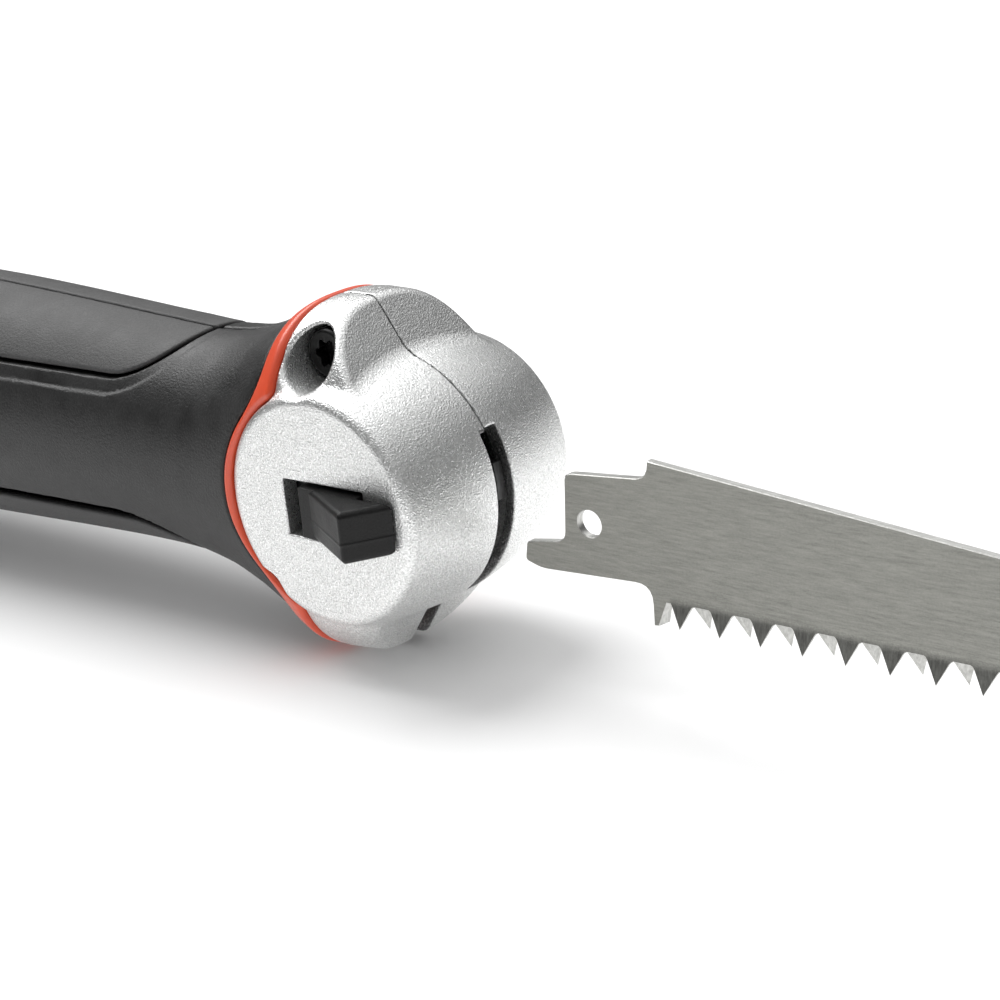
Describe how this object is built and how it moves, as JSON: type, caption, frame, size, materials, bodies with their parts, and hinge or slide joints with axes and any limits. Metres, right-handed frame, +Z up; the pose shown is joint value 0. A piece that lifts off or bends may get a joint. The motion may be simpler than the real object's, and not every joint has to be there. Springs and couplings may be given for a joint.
{
  "type": "drywall saw",
  "caption": "Handheld drywall saw: a padded straight handle, a swivelling quick-change blade head with a side release slider, and a tapered toothed blade.",
  "frame": {"origin": "centre of the bottom of the whole saw's bounding box, with the blade drawn out in front of the head", "axes": "+X from the butt of the handle to the blade's tip, +Z up with the teeth down, -Y the side that carries the release slider"},
  "size_m": [0.3286, 0.0374, 0.0461],
  "materials": {
    "casting": "fine-grained metallic silver powder coat on a casting",
    "collar": "glossy red-orange moulding",
    "nylon": "satin charcoal moulding",
    "grip": "soft satin rubber with a fine grain",
    "slider": "satin charcoal moulding",
    "blade": "brushed along its length",
    "steel": "plain turned or pressed steel",
    "dark_steel": "blackened pressed steel",
    "black_screw": "black-finished steel"
  },
  "bodies": {
    "handle": {"head_half_right": "casting", "head_half_left": "casting", "head_screw_top": "black_screw", "head_screw_bottom": "black_screw", "handle_screw_1": "black_screw", "handle_screw_2": "black_screw", "pivot_pin": "steel", "washer_right": "steel", "washer_left": "steel", "slider_retainer": "steel", "slider_leaf_spring": "steel", "tang_pin_1": "steel", "tang_pin_2": "steel", "friction_washer": "dark_steel", "index_spring_cup": "dark_steel", "collar_ring": "collar", "handle_shell_right": "nylon", "handle_shell_left": "nylon", "grip_top_right": "grip", "grip_top_left": "grip", "grip_bottom_right": "grip", "grip_bottom_left": "grip"},
    "carrier": {"carrier_cheek_right": "dark_steel", "carrier_cheek_left": "dark_steel", "blade_spacer": "dark_steel", "pivot_bush": "steel", "carrier_rivet_1": "steel", "carrier_rivet_2": "steel", "carrier_rivet_3": "steel", "lock_pin_spring": "steel"},
    "blade": {"blade": "blade"},
    "slider": {"release_slider": "slider"},
    "lock_pin": {"lock_pin": "steel"},
    "plunger": {"index_plunger": "steel"}
  },
  "joints": [
    {"name": "blade_angle", "type": "hinge", "parent": "handle", "child": "carrier", "pos_m": [-0.02632, 0.00213, 0.02295], "axis": [0, 1, 0], "range_deg": [0, 65]},
    {"name": "blade_insert", "type": "slide", "parent": "carrier", "child": "blade", "axis": [0.9988, 0, 0.0495], "range_m": [-0.022, 0]},
    {"name": "slider_release", "type": "slide", "parent": "handle", "child": "slider", "axis": [1, 0, 0], "range_m": [-0.003, 0]},
    {"name": "lock_pin_slide", "type": "slide", "parent": "carrier", "child": "lock_pin", "axis": [0, 1, 0], "range_m": [0, 0.0022], "deforming": ["lock_pin_spring"]},
    {"name": "index_plunger_slide", "type": "slide", "parent": "handle", "child": "plunger", "axis": [1, 0, 0], "range_m": [-0.0006, 0], "stiffness_N_per_m": 600, "springref_m": 0.001}
  ],
  "couplings": [
    {"joint": "lock_pin_slide", "follows": "slider_release", "ratio": -0.7333}
  ]
}
